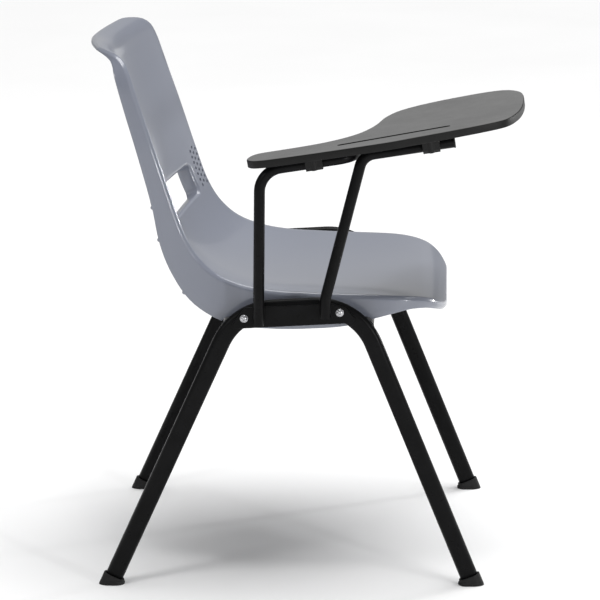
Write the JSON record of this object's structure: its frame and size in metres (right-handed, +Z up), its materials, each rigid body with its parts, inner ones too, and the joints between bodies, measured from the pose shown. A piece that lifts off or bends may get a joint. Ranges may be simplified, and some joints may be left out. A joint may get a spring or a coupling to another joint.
{
  "type": "student desk chair",
  "caption": "Student chair with a moulded shell on bent oval-tube leg arches and a writing tablet hinged on a bent-tube side arm, flipping up for entry.",
  "frame": {"origin": "on the floor, midway between the four feet", "axes": "+Z up, -Y the way the sitter faces, -X the sitter's right, where the tablet is"},
  "size_m": [0.5727, 0.6826, 0.8356],
  "materials": {
    "shell_plastic": "satin, light blue-grey polypropylene with a fine grain",
    "frame_paint": "satin black powder coat",
    "boot_plastic": "matt black",
    "tablet_plastic": "fine-textured charcoal",
    "pad_plastic": "natural acetal",
    "buffer_rubber": "matt",
    "zinc": "bright zinc plate"
  },
  "bodies": {
    "chair": {"seat_shell": "shell_plastic", "right_leg_arch": "frame_paint", "left_leg_arch": "frame_paint", "front_cross_tube": "frame_paint", "rear_cross_tube": "frame_paint", "shell_screws": "zinc", "shell_washers": "zinc", "front_right_glide": "boot_plastic", "front_left_glide": "boot_plastic", "rear_right_glide": "boot_plastic", "rear_left_glide": "boot_plastic", "arm_side_plate": "frame_paint", "rear_arm_tube": "frame_paint", "front_arm_tube": "frame_paint", "arm_bolts": "zinc", "arm_bolt_washers": "zinc", "rivet_nuts": "zinc", "front_rail_plug": "boot_plastic", "rest_buffer": "buffer_rubber", "stop_pins": "zinc"},
    "tablet": {"tablet_board": "tablet_plastic", "rear_pivot_block": "boot_plastic", "front_pivot_block": "boot_plastic", "rear_wear_pad": "pad_plastic", "front_wear_pad": "pad_plastic", "pivot_screws": "zinc"}
  },
  "joints": [
    {"name": "tablet_flip", "type": "hinge", "parent": "chair", "child": "tablet", "pos_m": [-0.2655, 0, 0.6703], "axis": [0, -0.9893, 0.1461], "range_deg": [0, 90]}
  ]
}
